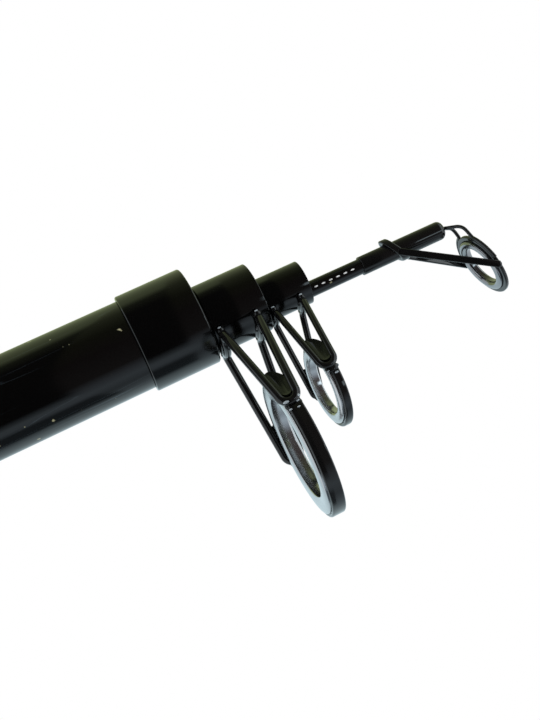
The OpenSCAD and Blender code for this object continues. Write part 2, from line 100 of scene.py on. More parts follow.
def softenEdges(obj, width, segments=3, angle=30):
    addModifier(obj, "BEVEL", width=width * mm, segments=segments, limit_method="ANGLE",
                angle_limit=math.radians(angle), use_clamp_overlap=True)


def smooth(obj, angle=40):
    pick(obj)
    bpy.ops.object.shade_smooth_by_angle(angle=math.radians(angle))
    return obj


# a ring of edges drawn out along X through (x, radius) points
def turned(name, outline, segments=160):
    points = [(x, max(radius, fine["leastRadius"])) for x, radius in outline]
    x, radius = points[0]
    clearSelection()
    bpy.ops.mesh.primitive_circle_add(vertices=segments, radius=radius * mm,
                                      location=(x * mm, 0, 0), rotation=(0, math.pi / 2, 0))
    obj = bpy.context.object
    obj.name = obj.data.name = name
    bpy.ops.object.mode_set(mode="EDIT")
    bpy.ops.mesh.select_all(action="SELECT")
    for nextX, nextRadius in points[1:]:
        grow = nextRadius / radius
        bpy.ops.mesh.extrude_region_move(TRANSFORM_OT_translate={"value": ((nextX - x) * mm, 0, 0)})
        bpy.ops.transform.resize(value=(1, grow, grow), center_override=(nextX * mm, 0, 0))
        x, radius = nextX, nextRadius
    bpy.ops.mesh.select_all(action="SELECT")
    bpy.ops.mesh.remove_doubles(threshold=fine["weld"] * mm)
    bpy.ops.mesh.normals_make_consistent(inside=False)
    bpy.ops.object.mode_set(mode="OBJECT")
    bpy.ops.object.transform_apply(location=True, rotation=True, scale=True)
    return obj


# round wire through points
def wire(name, points, radius, closed=False):
    clearSelection()
    bpy.ops.curve.primitive_bezier_curve_add()
    obj = bpy.context.object
    obj.name = obj.data.name = name
    curve = obj.data
    curve.splines.clear()
    run = curve.splines.new("POLY")
    run.points.add(len(points) - 1)
    for knot, point in zip(run.points, points):
        knot.co = (*(Vector(point) * mm), 1)
    run.use_cyclic_u = closed
    curve.dimensions = "3D"
    curve.bevel_depth = radius * mm
    curve.bevel_resolution = fine["wireSides"]
    curve.use_fill_caps = not closed
    pick(obj)
    bpy.ops.object.convert(target="MESH")
    return bpy.context.object


def bead(name, centre, size):
    clearSelection()
    bpy.ops.mesh.primitive_uv_sphere_add(segments=fine["beadSegments"], ring_count=fine["beadRings"],
                                         radius=mm, location=Vector(centre) * mm)
    obj = bpy.context.object
    obj.name = name
    obj.scale = size
    bpy.ops.object.transform_apply(location=True, rotation=True, scale=True)
    return obj


def block(name, low, high, soft=0):
    clearSelection()
    bpy.ops.mesh.primitive_cube_add(size=1)
    obj = bpy.context.object
    obj.name = name
    obj.dimensions = (Vector(high) - Vector(low)) * mm
    obj.location = (Vector(low) + Vector(high)) / 2 * mm
    bpy.ops.object.transform_apply(location=True, rotation=True, scale=True)
    if soft:
        softenEdges(obj, soft, 4)
    return obj


def cutWith(obj, cutter, operation="DIFFERENCE"):
    addModifier(obj, "BOOLEAN", operation=operation, object=cutter, solver="EXACT")
    bpy.data.objects.remove(cutter, do_unlink=True)


def joined(name, objs):
    pick(objs[0])
    for obj in objs[1:]:
        obj.select_set(True)
    bpy.ops.object.join()
    objs[0].name = objs[0].data.name = name
    return objs[0]


# one skin over wires that meet, run together as lacquer does
def lacquered(obj, voxel, rounds):
    addModifier(obj, "REMESH", mode="VOXEL", voxel_size=voxel * mm)
    addModifier(obj, "SMOOTH", factor=0.5, iterations=rounds)
    pick(obj)
    bpy.ops.object.shade_smooth()
    return obj


def finishPiece(obj, body, finish, slot, *nodes):
    obj.data.materials.clear()
    obj.data.materials.append(finish)
    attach(obj, body)
    if nodes:
        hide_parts(*nodes)
    return obj


# finishes

def newFinish(name, colour, roughness, **sockets):
    finish = bpy.data.materials.new(name)
    finish.use_nodes = True
    shader = finish.node_tree.nodes["Principled BSDF"]
    shader.inputs["Base Color"].default_value = (*colour, 1)
    shader.inputs["Roughness"].default_value = roughness
    for socket, value in sockets.items():
        shader.inputs[socket].default_value = value
    return finish, finish.node_tree, shader


def noiseOn(tree, scale, detail=3, stretch=(1, 1, 1)):
    place = tree.nodes.new("ShaderNodeTexCoord")
    mapping = tree.nodes.new("ShaderNodeMapping")
    mapping.inputs["Scale"].default_value = stretch
    noise = tree.nodes.new("ShaderNodeTexNoise")
    noise.inputs["Scale"].default_value = scale
    noise.inputs["Detail"].default_value = detail
    tree.links.new(place.outputs["Object"], mapping.inputs["Vector"])
    tree.links.new(mapping.outputs["Vector"], noise.inputs["Vector"])
    return noise


def ramp(tree, source, stops):
    steps = tree.nodes.new("ShaderNodeValToRGB")
    elements = steps.color_ramp.elements
    elements[0].position, elements[1].position = stops[0][0], stops[-1][0]
    elements[0].color, elements[1].color = (*stops[0][1], 1), (*stops[-1][1], 1)
    for position, colour in stops[1:-1]:
        elements.new(position).color = (*colour, 1)
    tree.links.new(source, steps.inputs["Fac"])
    return steps


def addTint(tree, shader, noise, stops):
    tone = ramp(tree, noise.outputs["Fac"], stops)
    tree.links.new(tone.outputs["Color"], shader.inputs["Base Color"])


def addBump(tree, shader, noise, strength, distance):
    bump = tree.nodes.new("ShaderNodeBump")
    bump.inputs["Strength"].default_value = strength
    bump.inputs["Distance"].default_value = distance
    tree.links.new(noise.outputs["Fac"], bump.inputs["Height"])
    tree.links.new(bump.outputs["Normal"], shader.inputs["Normal"])


# dust specks, and hairlines along the tube that are broken into patches
blankLook = {"colour": (0.0007, 0.0006, 0.0006), "dust": (0.34, 0.32, 0.19),
             "scratch": (0.03, 0.04, 0.048), "roughness": 0.08}
off, on = (0, 0, 0), (1, 1, 1)
glossBlack, tree, shader = newFinish("glossBlackBlank", blankLook["colour"], blankLook["roughness"])
specks = ramp(tree, noiseOn(tree, 420, 1).outputs["Fac"],
              [(0.0, blankLook["colour"]), (0.75, blankLook["colour"]), (0.785, blankLook["dust"])])
hairs = ramp(tree, noiseOn(tree, 380, 1, (0.04, 1, 1)).outputs["Fac"],
             [(0.49, off), (0.5, on), (0.51, off)])
patches = ramp(tree, noiseOn(tree, 70, 2, (0.35, 1, 1)).outputs["Fac"], [(0.5, off), (0.6, on)])
hairShare = tree.nodes.new("ShaderNodeMath")
hairShare.operation = "MULTIPLY"
tree.links.new(hairs.outputs["Color"], hairShare.inputs[0])
tree.links.new(patches.outputs["Color"], hairShare.inputs[1])
scratched = tree.nodes.new("ShaderNodeMixRGB")
scratched.inputs["Color2"].default_value = (*blankLook["scratch"], 1)
tree.links.new(hairShare.outputs["Value"], scratched.inputs["Fac"])
tree.links.new(specks.outputs["Color"], scratched.inputs["Color1"])
tree.links.new(scratched.outputs["Color"], shader.inputs["Base Color"])
addBump(tree, shader, noiseOn(tree, 45, 2, (0.15, 1, 1)), 0.05, 0.0004)

lacquerBlack, tree, shader = newFinish("lacquerBlack", (0.0007, 0.0006, 0.0006), 0.11)
addBump(tree, shader, noiseOn(tree, 60, 2, (0.2, 1, 1)), 0.05, 0.0003)

wireBlack, tree, shader = newFinish("wireBlack", (0.0036, 0.0034, 0.0034), 0.1)
addBump(tree, shader, noiseOn(tree, 90, 2), 0.04, 0.0003)

lugOlive, tree, shader = newFinish("lugOlive", (0.003, 0.0034, 0.0022), 0.2, **{"Specular IOR Level": 0.32})
addBump(tree, shader, noiseOn(tree, 120, 2), 0.04, 0.0003)

ceramicGrey, tree, shader = newFinish("ceramicGrey", (0.5, 0.5, 0.51), 0.17, Metallic=1.0)
addTint(tree, shader, noiseOn(tree, 90, 2), [(0.3, (0.46, 0.46, 0.47)), (0.7, (0.53, 0.53, 0.54))])

ringDark, tree, shader = newFinish("ringDark", (0.3, 0.3, 0.31), 0.17, Metallic=1.0)
addTint(tree, shader, noiseOn(tree, 90, 2), [(0.3, (0.27, 0.27, 0.28)), (0.7, (0.32, 0.32, 0.33))])

# light grey finish for the drops, which paints glints onto the braze: painted highlights
brazeGlintPaint, tree, shader = newFinish("brazeGlintPaint", (0.42, 0.47, 0.5), 0.35, Metallic=0.4)
addBump(tree, shader, noiseOn(tree, 800, 2), 0.1, 0.0001)

markPaint, tree, shader = newFinish("markPaint", (0.7, 0.7, 0.68), 0.5)
addTint(tree, shader, noiseOn(tree, 1500, 2), [(0.35, (0.45, 0.45, 0.44)), (0.55, (0.75, 0.75, 0.73))])

gripFoam, tree, shader = newFinish("gripFoam", (0.022, 0.022, 0.022), 0.85)
pores = noiseOn(tree, 900, 3)
addTint(tree, shader, pores, [(0.35, (0.012, 0.012, 0.012)), (0.6, (0.026, 0.026, 0.026))])
addBump(tree, shader, pores, 0.35, 0.0004)

checkMetal, tree, shader = newFinish("checkMetal", (0.3, 0.3, 0.31), 0.32, Metallic=1.0)
brushed = noiseOn(tree, 260, 3, (4, 0.3, 0.3))
addTint(tree, shader, brushed, [(0.3, (0.24, 0.24, 0.25)), (0.7, (0.34, 0.34, 0.35))])
addBump(tree, shader, brushed, 0.08, 0.0002)

seatPlastic, tree, shader = newFinish("seatPlastic", (0.02, 0.02, 0.021), 0.42)
addBump(tree, shader, noiseOn(tree, 1600, 2), 0.12, 0.0002)

hoodPlastic, tree, shader = newFinish("hoodPlastic", (0.028, 0.028, 0.03), 0.36)
addBump(tree, shader, noiseOn(tree, 1200, 2), 0.1, 0.0002)

padRubber, tree, shader = newFinish("padRubber", (0.015, 0.015, 0.015), 0.75)
grain = noiseOn(tree, 500, 3)
addTint(tree, shader, grain, [(0.3, (0.011, 0.011, 0.011)), (0.7, (0.02, 0.02, 0.02))])
addBump(tree, shader, grain, 0.2, 0.0003)
print("finishes made")


# butt, collar, blanks and sleeves: (x, radius) outlines

butt = {"rearRadius": 13.25, "mouthRadius": 12.25, "rearBore": 12.05, "mouthBore": 11.45, "soft": 0.2}
buttTube = turned("buttTube", [
    (rod["rearX"], butt["rearBore"]), (rod["rearX"], butt["rearRadius"]),
    (rod["mouthX"], butt["mouthRadius"]), (rod["mouthX"], butt["mouthBore"]),
    (rod["rearX"], butt["rearBore"])], 224)
softenEdges(buttTube, butt["soft"])
smooth(buttTube)
finishPiece(buttTube, "butt", glossBlack, "blank_black", "butt_tube")

collar = {"radius": 13.43, "length": 18.1, "rearBore": 12.26, "mouthBore": 12.25, "soft": 0.45}
collarX = rod["mouthX"] - collar["length"]
mouthCollar = turned("mouthCollar", [
    (collarX, collar["rearBore"]), (collarX, collar["radius"]), (rod["mouthX"], collar["radius"]),
    (rod["mouthX"], collar["mouthBore"]), (collarX, collar["rearBore"])], 224)
softenEdges(mouthCollar, collar["soft"], 6)
smooth(mouthCollar)
finishPiece(mouthCollar, "butt", lacquerBlack, "lacquer_black", "mouth_collar")

blank2 = {"baseRadius": 11.3, "mouthRadius": 9, "baseBore": 10.1, "mouthBore": 7.7, "soft": 0.2}
blank3 = {"baseRadius": 7.55, "mouthRadius": 5.78, "baseBore": 6.35, "mouthBore": 5.14, "soft": 0.2}


def blankTube(name, blank, length, place, body, node):
    tube = turned(name, [(0, blank["baseBore"]), (0, blank["baseRadius"]), (length, blank["mouthRadius"]),
                         (length, blank["mouthBore"]), (0, blank["baseBore"])])
    softenEdges(tube, blank["soft"])
    setDown(smooth(tube), place)
    return finishPiece(tube, body, glossBlack, "blank_black", node)


blankTube("section2Blank", blank2, rod["length2"], section2, "section_2", "section_2_blank")
blankTube("section3Blank", blank3, rod["length3"], section3, "section_3", "section_3_blank")

tip = {"baseRadius": 4.99, "tipRadius": 2.15, "straight": 20.6, "soft": 0.2}
tipEnd = rod["tipLength"] + tip["straight"]
tipBlank = turned("tipBlank", [(0, 0), (0, tip["baseRadius"]), (rod["tipLength"], tip["tipRadius"]),
                               (tipEnd, tip["tipRadius"]), (tipEnd, 0)], 96)
softenEdges(tipBlank, tip["soft"])
setDown(smooth(tipBlank), tipSection)
finishPiece(tipBlank, "tip", glossBlack, "blank_black", "tip_blank")

# plain painted dashes along the bare end of the tip
marks = {"count": 6, "step": 2.2, "firstX": -14, "size": (0.55, 0.1, 0.2), "turn": 174}
tipTaper = (tip["baseRadius"] - tip["tipRadius"]) / rod["tipLength"]
dabs = []
for k in range(marks["count"]):
    x = marks["firstX"] + k * marks["step"]
    dab = bead("dab", (0, 0, 0), marks["size"])
    setDown(dab, slide(rod["tipLength"] + x) @ spin(math.radians(marks["turn"]), "X")
            @ slide(0, tip["tipRadius"] - x * tipTaper, 0))
    dabs.append(dab)
tipMarks = smooth(joined("tipMarks", dabs), 60)
setDown(tipMarks, tipSection)
finishPiece(tipMarks, "tip", markPaint, None)

# near and far legs meet the ring a little apart, as bent by hand; painted glint drops are (x, z, wide, tall)
guide1 = {"sleeveRadius": 9.57, "sleeveLength": 15.5, "sleeveBore": 9.05, "wireRadius": 1.1,
          "ringRadius": 18.9, "holeRadius": 13.2, "ringWidth": 3.6, "depth": 42.4, "back": 8.6, "turn": 0,
          "rearFoot": -5.3, "frontFoot": 5.1, "foot": 40, "lugTall": 0.185,
          "near": {"rise": 7.1, "gap": 2.2, "ahead": -0.5},
          "far": {"rise": 5.3, "gap": 2.2, "ahead": -0.5},
          "glintDrops": [(-1.75, -37.75, 0.8, 0.34), (1.6, -37.5, 0.3, 0.4), (0.9, -38.3, 0.45, 0.22),
                    (0.4, -39.9, 0.4, 0.2), (-1.6, -39.7, 0.4, 0.2)]}
guide2 = {"sleeveRadius": 6.05, "sleeveLength": 12.4, "sleeveBore": 5.82, "wireRadius": 0.9,
          "ringRadius": 11.55, "holeRadius": 7.65, "ringWidth": 2.1, "depth": 29.1, "back": 8.3, "turn": 4,
          "rearFoot": -3.3, "frontFoot": 4.8, "foot": 33.5, "lugTall": 0.225,
          "near": {"rise": 1.8, "gap": 2.05, "ahead": -0.1},
          "far": {"rise": 3.6, "gap": 1.15, "ahead": -1.0},
          "glintDrops": [(-0.95, -30.7, 0.35, 0.16), (0.77, -31.7, 0.5, 0.24), (1.9, -30.2, 0.2, 0.34)]}
sleeve = {"rearDrop": 0.15, "rearRun": 0.5, "soft": 0.28}


def guideSleeve(name, g, mouth, place, body, node):
    rear, radius, bore = mouth - g["sleeveLength"], g["sleeveRadius"], g["sleeveBore"]
    obj = turned(name, [(rear, bore), (rear, radius - sleeve["rearDrop"]), (rear + sleeve["rearRun"], radius),
                        (mouth, radius), (mouth, bore), (rear, bore)], 192)
    softenEdges(obj, sleeve["soft"], 4, 35)
    setDown(smooth(obj), place)
    return finishPiece(obj, body, lacquerBlack, "lacquer_black", node)


guideSleeve("guide1Sleeve", guide1, rod["length2"], section2, "section_2", "guide_1_sleeve")
guideSleeve("guide2Sleeve", guide2, rod["length3"], section3, "section_3", "guide_2_sleeve")
print("tubes and sleeves made")


# guide frames: sink is how far a wire lies in what carries it, bend is the reach of a wire's bend

braze = {"sink": 0.15, "inward": 3, "bend": 2.2, "saddleShare": 0.7}


def bendRound(before, corner, after, reach, steps=9):
    before, corner, after = Vector(before), Vector(corner), Vector(after)
    start = corner + (before - corner).normalized() * reach
    end = corner + (after - corner).normalized() * reach
    return [(1 - t) ** 2 * start + 2 * t * (1 - t) * corner + t ** 2 * end
            for t in (k / (steps - 1) for k in range(steps))]


def guideSide(g, legs):
    reach = g["sleeveRadius"] + g["wireRadius"] - braze["sink"]
    foot = math.radians(g["foot"])
    footY, footZ = -reach * math.sin(foot), -reach * math.cos(foot)
    sideY = -math.sqrt(g["ringRadius"] ** 2 - legs["rise"] ** 2) - g["wireRadius"] + braze["sink"]
    sideZ = legs["rise"] - g["depth"]
    inY, inZ = footY + braze["inward"] * math.cos(foot), footZ - braze["inward"] * math.sin(foot)
    rear, front, gap, ahead = g["rearFoot"], g["frontFoot"], legs["gap"], legs["ahead"]
    side = bendRound((rear, inY, inZ), (rear, footY, footZ), (ahead - gap, sideY, sideZ), braze["bend"])
    for k in range(17):
        turn = math.pi + math.pi * k / 16
        side.append(Vector((ahead + gap * math.cos(turn), sideY, sideZ + gap * math.sin(turn))))
    side += bendRound((ahead + gap, sideY, sideZ), (front, footY, footZ), (front, inY, inZ), braze["bend"])
    return side, (footY, footZ), (sideY, sideZ)


def guidePath(g):
    nearSide, foot, near = guideSide(g, g["near"])
    farSide, foot, far = guideSide(g, g["far"])
    reach = g["sleeveRadius"] + g["wireRadius"] - braze["sink"]
    arc = [braze["saddleShare"] * math.radians(g["foot"]) * (k / 4 - 1) for k in range(9)]
    saddleFront = [Vector((g["frontFoot"], reach * math.sin(a), -reach * math.cos(a))) for a in arc]
    saddleRear = [Vector((g["rearFoot"], -reach * math.sin(a), -reach * math.cos(a))) for a in arc]
    farSide = [Vector((p.x, -p.y, p.z)) for p in reversed(farSide)]
    return nearSide + saddleFront + farSide + saddleRear, foot, {-1: near, 1: far}


# sizes of the braze beads, as shares of the wire's radius
beads = {"foot": (1.05, 1.15, 1.15), "footIn": 0.97, "footUp": 0.99,
         "side": (2.0, 0.7, 1.25), "sideAhead": 0.3, "sideIn": 0.75, "sideDown": 0.8,
         "saddle": (1.6, 0.5, 1.0), "saddleSink": 0.2}


def guideFrame(name, g, place, body, node):
    path, foot, sides = guidePath(g)
    r = g["wireRadius"]
    parts = [wire(name, path, r, closed=True)]
    for y in (-1, 1):
        for x in (g["rearFoot"], g["frontFoot"]):
            centre = (x, -y * foot[0] * beads["footIn"], foot[1] * beads["footUp"])
            parts.append(bead("footBead", centre, Vector(beads["foot"]) * r))
        (sideY, sideZ), legs = sides[y], g["near"] if y < 0 else g["far"]
        centre = (legs["ahead"] + beads["sideAhead"], -y * (sideY + r * beads["sideIn"]),
                  sideZ - legs["gap"] - r * beads["sideDown"])
        parts.append(bead("sideBead", centre, Vector(beads["side"]) * r))
    along, across, down = beads["saddle"]
    for x in (g["rearFoot"], g["frontFoot"]):
        parts.append(bead("saddleBead", (x, 0, -g["sleeveRadius"] + beads["saddleSink"]),
                          (r * along, g["sleeveRadius"] * across, r * down)))
    obj = smooth(joined(name, parts), 60)
    setDown(obj, place)
    return finishPiece(obj, body, wireBlack, "guide_black", node)


glintDrop = {"thick": 0.3, "wireFoot": 0.6, "onWire": 0.75, "onBand": 0.2,
        "foot": (0.45, 0.14, 0.2), "footReach": 1.12, "footOut": 0.93, "footUp": 0.42, "footBack": 0.1}


# painted glints: light drops under the near legs, on the wire or the band below it, and on the near feet
def brazeGlintDrops(name, g, place, body):
    foot, sides = guidePath(g)[1:]
    sideY, sideZ = sides[-1]
    wireFoot = sideZ - g["near"]["gap"] - g["wireRadius"] * glintDrop["wireFoot"]
    glintDrops = []
    for x, z, wide, tall in g["glintDrops"]:
        onWire = abs(sideY) + g["wireRadius"] * glintDrop["onWire"]
        onBand = math.sqrt(g["ringRadius"] ** 2 - (z + g["depth"]) ** 2) + glintDrop["onBand"]
        glintDrops.append(bead("glintDrop", (x, -(onWire if z > wireFoot else onBand), z), (wide, glintDrop["thick"], tall)))
    reach = g["wireRadius"] * glintDrop["footReach"]
    for x in (g["rearFoot"], g["frontFoot"]):
        centre = (x - glintDrop["footBack"], foot[0] - reach * glintDrop["footOut"], foot[1] + reach * glintDrop["footUp"])
        glintDrops.append(bead("footGlint", centre, glintDrop["foot"]))
    obj = smooth(joined(name, glintDrops), 60)
    setDown(obj, place)
    return finishPiece(obj, body, brazeGlintPaint, "guide_black")


lug = {"thick": 1.1, "tilt": 0.29, "arch": 1.2, "inside": 0.8, "rim": 0.25, "rimShare": 0.18,
       "dish": 0.55, "dishShare": 0.4, "dishDeep": 0.34, "soft": 0.18}


# plate between the legs, arched at the top and dished on both faces
def lugPlate(name, g, sideSign, place, body, node):
    foot, sides = guidePath(g)[1:]
    side, legs = sides[sideSign], g["near"] if sideSign < 0 else g["far"]
    gap, ahead = legs["gap"], legs["ahead"]
    run = abs(side[1] - foot[1])
    lean = math.atan((abs(side[0]) - abs(foot[0])) / run)
    leg = run / math.cos(lean)
    tall, tilt = leg * g["lugTall"], lug["tilt"]
    rearSlope = (g["rearFoot"] - ahead + gap) / leg
    frontSlope = (g["frontFoot"] - ahead - gap) / leg
    inside = g["wireRadius"] * lug["inside"]
    rearX = -gap + rearSlope * tall * (1 + tilt) + inside * math.hypot(1, rearSlope)
    frontX = gap + frontSlope * tall * (1 - tilt) - inside * math.hypot(1, frontSlope)
    middle, half, base = (rearX + frontX) / 2, (frontX - rearX) / 2, gap - inside
    outline = [(base * math.cos(a), base * math.sin(a))
               for a in (math.pi + math.pi * k / 24 for k in range(25))]
    outline += [(middle + half * math.cos(a),
                 tall * (1 - tilt * math.cos(a)) + half * lug["arch"] * math.sin(a))
                for a in (math.pi * k / 30 for k in range(31))]
    clearSelection()
    bpy.ops.mesh.primitive_circle_add(vertices=len(outline), radius=mm, fill_type="NGON")
    obj = bpy.context.object
    obj.name = obj.data.name = name
    for vertex, (x, z) in zip(obj.data.vertices, outline):
        vertex.co = Vector((x, 0, z)) * mm
    addModifier(obj, "SOLIDIFY", thickness=lug["thick"] * mm, offset=0)
    pick(obj)
    bpy.ops.object.mode_set(mode="EDIT")
    bpy.ops.mesh.select_all(action="DESELECT")
    bpy.ops.object.mode_set(mode="OBJECT")
    for face in obj.data.polygons:
        face.select = abs(face.normal.y) > 0.9
    bpy.ops.object.mode_set(mode="EDIT")
    bpy.ops.mesh.inset(thickness=min(lug["rim"], base * lug["rimShare"]) * mm, depth=0, use_individual=True)
    bpy.ops.mesh.inset(thickness=min(lug["dish"], base * lug["dishShare"]) * mm,
                       depth=-lug["dishDeep"] * mm, use_individual=True)
    bpy.ops.object.mode_set(mode="OBJECT")
    softenEdges(obj, lug["soft"], 3, 35)
    smooth(obj, 60)
    setDown(obj, slide(ahead, sideSign * abs(side[0]), side[1]) @ spin(sideSign * lean, "X"))
    setDown(obj, place)
    return finishPiece(obj, body, lugOlive, "lug_black", node)


ring = {"band": 1.0, "bandSoft": 0.45, "lip": 0.75, "gap": 0.12, "groove": 0.3, "crestShare": 0.42,
        "lipBack": 0.25, "wallBack": 0.35, "wallFront": 0.26, "proud": 0.2, "frontWall": 0.4,
        "frontEdge": 0.1, "soft": 0.08}


def ringBand(name, radius, back, front, thick, soft, place, body, node):
    obj = turned(name, [(back, radius - thick), (back, radius), (front, radius), (front, radius - thick),
                        (back, radius - thick)], 192)
    softenEdges(obj, soft, 5, 30)
    setDown(smooth(obj), place)
    return finishPiece(obj, body, wireBlack, "guide_black", node)


def quarter(centreX, centreR, acrossX, acrossR, first, last, steps=18):
    return [(centreX + acrossX * math.cos(a), centreR + acrossR * math.sin(a))
            for a in (math.radians(first + (last - first) * k / steps) for k in range(steps + 1))]


# lip behind the band, rounded into a straight polished wall
def ringInsert(name, radius, hole, width, place, body, node):
    back, outer, lip = -width / 2, radius - ring["band"], ring["lip"]
    lipRadius = outer - ring["gap"]
    crest = lipRadius - (lipRadius - hole) * ring["crestShare"]
    wallBack = back - lip * ring["wallBack"]
    wallFront, front = width * ring["wallFront"], width / 2 + ring["proud"]
    frontR = outer - ring["frontWall"]
    lipBack = lip * ring["lipBack"]
    outline = [(back + ring["groove"], outer), (back + ring["groove"], lipRadius)]
    outline += quarter(back - lipBack, crest, lipBack - lip, lipRadius - crest, 90, 0)
    outline += quarter(wallBack, crest, back - lip - wallBack, hole - crest, 0, 90)[1:]
    outline += quarter(wallFront, frontR, front - wallFront, hole - frontR, 90, 0)
    outline += [(front - ring["frontEdge"], outer), (back + ring["groove"], outer)]
    obj = turned(name, outline, 288)
    softenEdges(obj, ring["soft"], 2, 60)
    setDown(smooth(obj, 50), place)
    return finishPiece(obj, body, ceramicGrey, "ring_ceramic", node)


for number, g, place, length, body in ((1, guide1, section2, rod["length2"], "section_2"),
                                       (2, guide2, section3, rod["length3"], "section_3")):
    stand = place @ slide(length - g["back"])
    centre = stand @ slide(0, 0, -g["depth"]) @ spin(math.radians(g["turn"]), "Z")
    guideFrame(f"guide{number}Frame", g, stand, body, f"guide_{number}_wire")
    brazeGlintDrops(f"guide{number}BrazeGlints", g, stand, body)
    lugPlate(f"guide{number}LugNear", g, -1, stand, body, f"guide_{number}_lug_near")
    lugPlate(f"guide{number}LugFar", g, 1, stand, body, f"guide_{number}_lug_far")
    ringBand(f"guide{number}Band", g["ringRadius"], -g["ringWidth"] / 2, g["ringWidth"] / 2,
             ring["band"], ring["bandSoft"], centre, body, f"guide_{number}_band")
    ringInsert(f"guide{number}Insert", g["ringRadius"], g["holeRadius"], g["ringWidth"], centre, body,
               f"guide_{number}_insert")
print("guides made")


# tip top

top = {"tubeRadius": 2.6, "tubeLength": 25.6, "tubeBore": 2.16, "nose": 1.5, "tubeSoft": 0.12,
       "ringRadius": 9.5, "holeRadius": 5.75, "lean": 14, "depth": 13.4, "ahead": 7.2,
       "flangeBack": -0.75, "flangeFront": 0.35, "flangeWidth": 1.4, "flangeSoft": 0.35}
tipTop = tipSection @ slide(rod["tipLength"])
topRing = tipTop @ slide(top["tubeLength"] + top["ahead"], 0, -top["depth"])
topRing = topRing @ spin(-math.radians(top["lean"]), "Y")

nose = []
for k in range(7):
    a = math.radians(15 * k)
    nose.append((top["tubeLength"] - top["nose"] * (1 - math.sin(a)),
                 top["tubeRadius"] - top["nose"] * (1 - math.cos(a))))
tipTube = turned("tipTopTube", [(0, top["tubeBore"]), (0, top["tubeRadius"]), *nose,
                                (top["tubeLength"], 0)], 96)
softenEdges(tipTube, top["tubeSoft"], 2, 50)
setDown(smooth(tipTube, 50), tipTop)
finishPiece(tipTube, "tip", wireBlack, "guide_black", "tip_top_tube")

strap = {"x": 10.5, "lean": 32, "crown": 0.25, "sink": 0.1, "soft": 0.4}
strip = {"thick": 0.9, "tall": 1.9, "rise": -0.4, "endAhead": -0.3, "nearDrop": 0.8, "farDrop": -0.4,
         "sag": 0.8, "past": 0.6, "soft": 0.32, "foot": (0.7, 0.6, 0.95), "footAhead": 0.1, "footIn": 0.1}


# band round the tube, slanted and a little crowned
def tipStrap():
    half = strip["tall"] / 2 / math.cos(math.radians(strap["lean"]))
    inner, outer = top["tubeRadius"] - strap["sink"], top["tubeRadius"] + strip["thick"]
    obj = turned("tipStrap", [(-half, inner), (-half, outer), (half, outer), (half, inner),
                              (-half, inner)], 96)
    softenEdges(obj, strap["soft"], 4)
    for vertex in obj.data.vertices:
        vertex.co.x -= vertex.co.z * math.tan(math.radians(strap["lean"]))
        vertex.co.z += strap["crown"] * mm * max(0, vertex.co.z / mm / top["tubeRadius"]) ** 3
    return setDown(smooth(obj), slide(strap["x"]))


# flat strip from the strap down to the ring, with the bead at its end
def tipStrip(sideSign):
    endDrop = strip["nearDrop"] if sideSign < 0 else strip["farDrop"]
    start = Vector((0, sideSign * (top["tubeRadius"] + strip["thick"] / 2), strip["rise"]))
    end = Vector((top["tubeLength"] + top["ahead"] + strip["endAhead"] - strap["x"],
                  sideSign * (top["ringRadius"] + strip["thick"] / 2 - braze["sink"]),
                  -top["depth"] - endDrop))
    reach = end - start
    clearSelection()
    bpy.ops.mesh.primitive_cube_add(size=1)
    obj = bpy.context.object
    obj.scale = Vector((reach.length + strip["past"], strip["thick"], strip["tall"])) * mm
    bpy.ops.object.transform_apply(scale=True)
    bpy.ops.object.mode_set(mode="EDIT")
    bpy.ops.mesh.loopcut_slide(MESH_OT_loopcut={"number_cuts": 12, "edge_index": 4})
    bpy.ops.object.mode_set(mode="OBJECT")
    softenEdges(obj, strip["soft"], 4)
    half = reach.length / 2 * mm
    for vertex in obj.data.vertices:
        vertex.co.z -= strip["sag"] * mm * (1 - min(1, abs(vertex.co.x) / half) ** 2)
    level = math.atan2(reach.z, math.hypot(reach.x, reach.y))
    middle = start + reach * 0.5
    setDown(smooth(obj), slide(strap["x"] + middle.x, middle.y, middle.z)
            @ spin(math.atan2(reach.y, reach.x), "Z") @ spin(-level, "Y"))
    foot = (strap["x"] + end.x + strip["footAhead"], end.y - sideSign * strip["footIn"], end.z)
    return [obj, bead("stripFoot", foot, strip["foot"])]


tipStrips = joined("tipTopStrips", [tipStrap(), *tipStrip(-1), *tipStrip(1)])
setDown(tipStrips, tipTop)
finishPiece(tipStrips, "tip", wireBlack, "guide_black", "tip_top_strips")

front = {"wireRadius": 0.5, "y": 0.35, "inside": 1, "lead": 0.4, "knee": (4.2, -3.3, -1.2), "bend": 1.8,
         "nearFrom": 30, "farFrom": 16, "to": 82, "voxel": 0.12, "rounds": 4}


# where a front wire lies on the leaning ring, by degrees from its top
def ringEdgePoint(degrees):
    r = top["ringRadius"] + front["wireRadius"] - braze["sink"]
    f = (top["flangeFront"] + top["flangeBack"]) / 2
    angle, lean = math.radians(degrees), math.radians(top["lean"])
    up, across = r * math.cos(angle), r * math.sin(angle)
    return Vector((top["tubeLength"] + top["ahead"] + f * math.cos(lean) - up * math.sin(lean), -across,
                   -top["depth"] + f * math.sin(lean) + up * math.cos(lean)))


def tipWire(sideSign):
    first = front["nearFrom"] if sideSign > 0 else front["farFrom"]
    lead = Vector((top["tubeLength"] + front["lead"], -front["y"], 0))
    knee = Vector((top["tubeLength"], 0, 0)) + Vector(front["knee"])
    path = [Vector((top["tubeLength"] - front["inside"], -front["y"], 0)), lead]
    path += bendRound(lead, knee, ringEdgePoint(first), front["bend"])
    path += [ringEdgePoint(first + (front["to"] - first) * k / 14) for k in range(15)]
    return wire("tipTopWires", [Vector((p.x, sideSign * p.y, p.z)) for p in path], front["wireRadius"])


tipWires = joined("tipTopWires", [tipWire(1), tipWire(-1)])
lacquered(tipWires, front["voxel"], front["rounds"])
setDown(tipWires, tipTop)
finishPiece(tipWires, "tip", wireBlack, "guide_black", "tip_top_wires")

ringBand("tipBand", top["ringRadius"], top["flangeBack"], top["flangeFront"], top["flangeWidth"],
         top["flangeSoft"], topRing, "tip", "tip_band")

